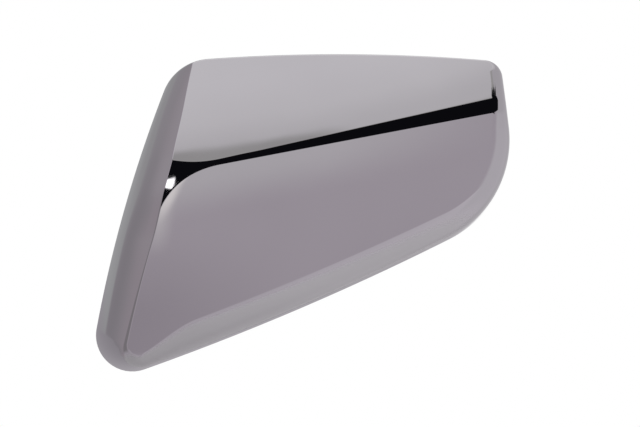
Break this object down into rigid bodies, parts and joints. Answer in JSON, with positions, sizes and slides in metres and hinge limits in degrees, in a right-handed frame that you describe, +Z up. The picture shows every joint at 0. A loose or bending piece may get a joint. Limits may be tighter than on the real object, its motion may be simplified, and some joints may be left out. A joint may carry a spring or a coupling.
{
  "type": "wing mirror cover",
  "caption": "Moulded cover for the back of a door mirror: an arched shell with a shoulder line and a rolled lower edge, chrome plated, with snap hooks and locating pins inside.",
  "frame": {"origin": "axis of the four-way locating pin, on the rim plane, where the cover seats on the mirror housing", "axes": "+Y out of the open back, the way the housing leaves, so the front of the cover looks along -Y; +Z up the car; +X towards the door"},
  "size_m": [0.2359, 0.0687, 0.1811],
  "materials": {
    "chrome": "polished chrome plate on moulded plastic, duller on the inside"
  },
  "bodies": {
    "root": {"mirror_cover": "chrome"}
  },
  "joints": []
}
